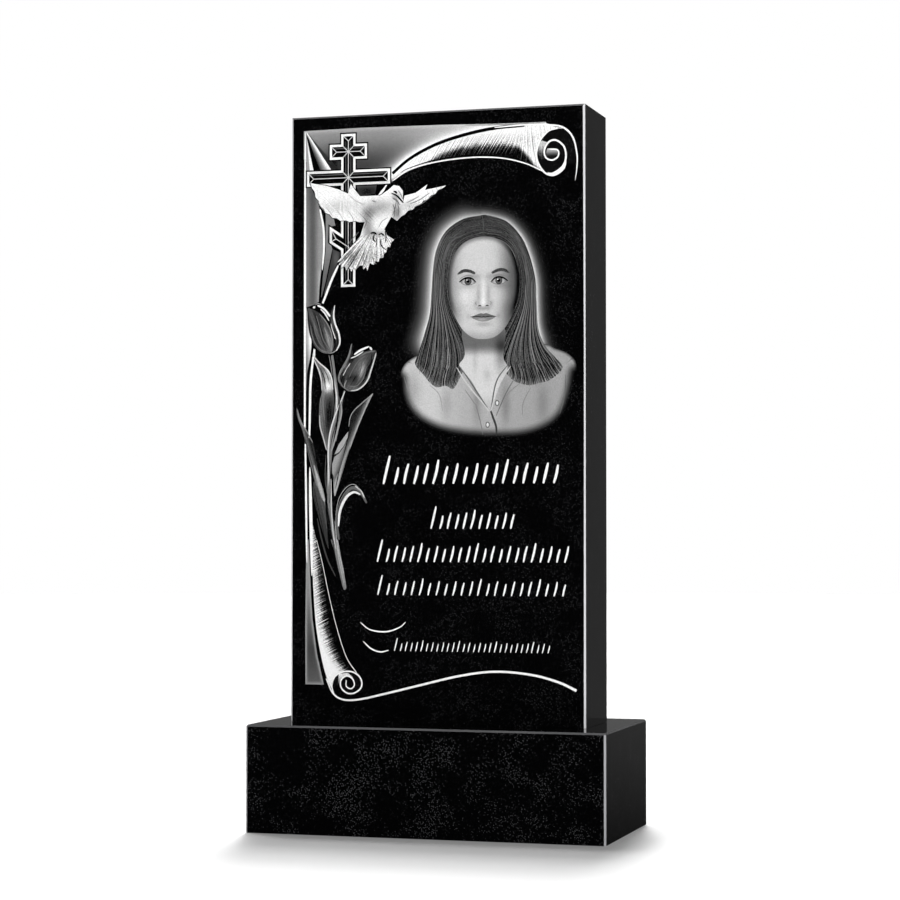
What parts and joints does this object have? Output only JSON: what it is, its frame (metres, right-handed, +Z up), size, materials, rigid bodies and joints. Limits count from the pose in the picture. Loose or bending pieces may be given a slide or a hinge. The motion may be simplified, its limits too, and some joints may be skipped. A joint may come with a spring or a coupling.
{
  "type": "headstone",
  "caption": "Upright polished black granite slab on a low plinth, its front etched with a scroll, cross, dove, tulips and portrait above rows of cut strokes.",
  "frame": {"origin": "centre of the plinth's underside, on the ground", "axes": "+Z up, the etched front faces -Y, +X is to the right of someone who looks at the front"},
  "size_m": [0.6, 0.3, 1.1753],
  "materials": {
    "slab_granite": "polished black granite, stood in for by gloss_plastic",
    "plinth_granite": "polished black granite, stood in for by gloss_plastic"
  },
  "bodies": {
    "root": {"stele": "slab_granite", "plinth": "plinth_granite"}
  },
  "joints": []
}
